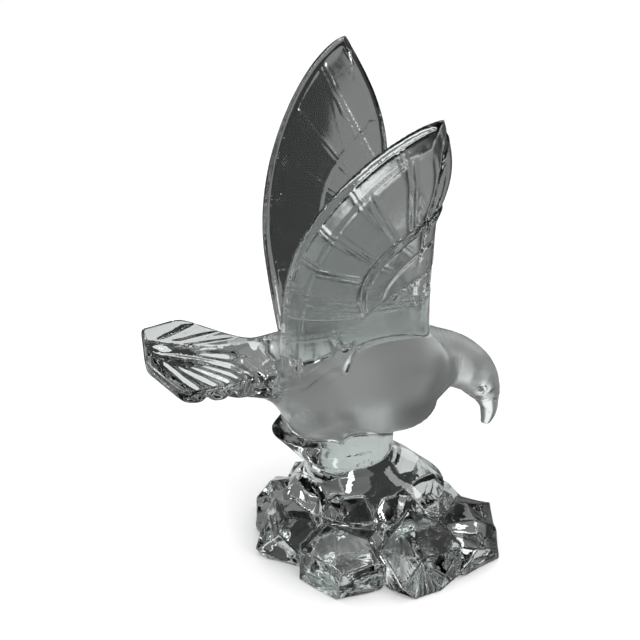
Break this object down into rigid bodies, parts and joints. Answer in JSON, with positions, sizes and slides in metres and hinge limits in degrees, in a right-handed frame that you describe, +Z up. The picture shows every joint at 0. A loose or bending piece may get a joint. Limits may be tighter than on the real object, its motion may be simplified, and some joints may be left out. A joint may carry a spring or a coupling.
{
  "type": "crystal eagle sculpture",
  "caption": "Clear crystal eagle with raised wings, fluted fan tail and hooked beak, standing on a stump and a faceted rock base, cast whole.",
  "frame": {"origin": "the middle of the flat underside that the base rests on", "axes": "+X the way the eagle faces, +Y its left side, +Z up"},
  "size_m": [0.1717, 0.1614, 0.2314],
  "materials": {
    "crystal": "clear moulded lead crystal, fire polished, soft satin on the breast and wings"
  },
  "bodies": {
    "root": {"crystal_eagle": "crystal"}
  },
  "joints": []
}
